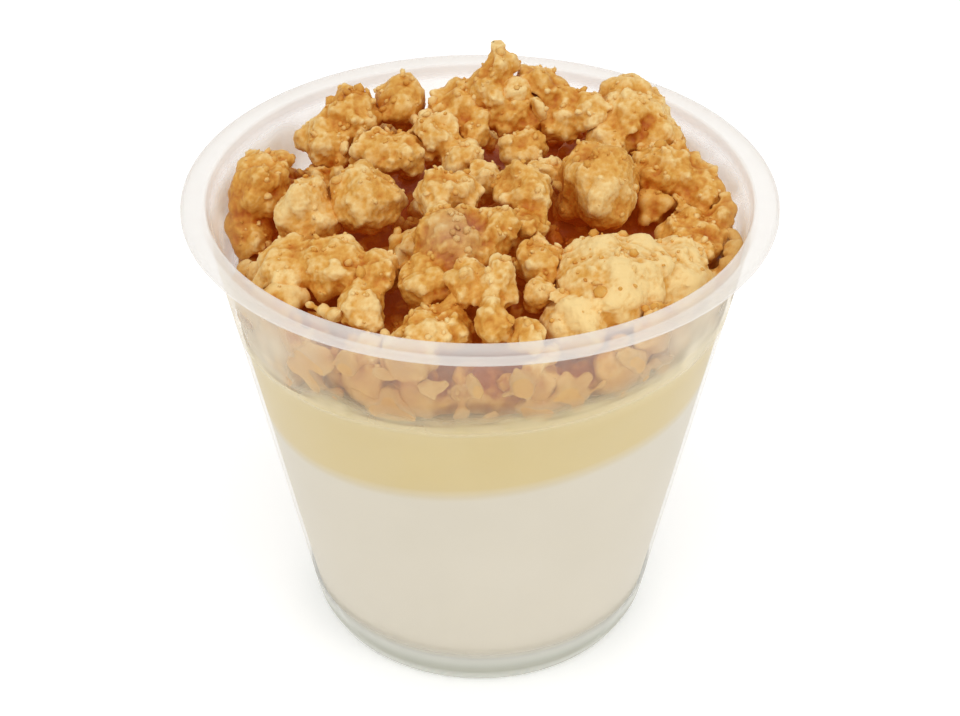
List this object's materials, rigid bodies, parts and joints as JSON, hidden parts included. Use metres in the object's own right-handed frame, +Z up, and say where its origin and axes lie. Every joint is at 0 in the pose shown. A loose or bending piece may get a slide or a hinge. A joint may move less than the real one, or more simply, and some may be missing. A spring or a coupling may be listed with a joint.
{
  "type": "mousse cup",
  "caption": "Clear tapered plastic cup of pale mousse under a layer of yellow custard, heaped above the rim with baked crumble.",
  "frame": {"origin": "on the cup's axis, at the bottom of its foot ring", "axes": "+Z up along the axis of the cup, -Y towards the viewer of the picture, +X to the right in it"},
  "size_m": [0.076, 0.076, 0.0753],
  "materials": {
    "cup_plastic": "clear, slightly milky polypropylene, satin",
    "mousse": "smooth pale cream mousse, soft sheen",
    "custard": "smooth yellow custard, soft sheen",
    "crumble": "rough baked butter crumble with sugary crumbs"
  },
  "bodies": {
    "root": {"crumble_back_left": "crumble", "crumble_back_left_ball": "crumble", "crumble_back_middle": "crumble", "crumble_back_right": "crumble", "crumble_back_shoulder": "crumble", "crumble_back_spike": "crumble", "crumble_bed": "crumble", "crumble_centre_left": "crumble", "crumble_centre_pale": "crumble", "crumble_centre_shard": "crumble", "crumble_centre_stone": "crumble", "crumble_front_chips": "crumble", "crumble_front_left": "crumble", "crumble_front_pillar": "crumble", "crumble_front_right_slab": "crumble", "crumble_front_small": "crumble", "crumble_front_stone": "crumble", "crumble_left_middle": "crumble", "crumble_left_smooth": "crumble", "crumble_left_wall": "crumble", "crumble_middle_chip": "crumble", "crumble_middle_main": "crumble", "crumble_middle_top": "crumble", "crumble_right_ball": "crumble", "crumble_right_lower": "crumble", "crumble_right_upper": "crumble", "crumble_small_stone": "crumble", "cup": "cup_plastic", "custard": "custard", "mousse": "mousse"}
  },
  "joints": []
}
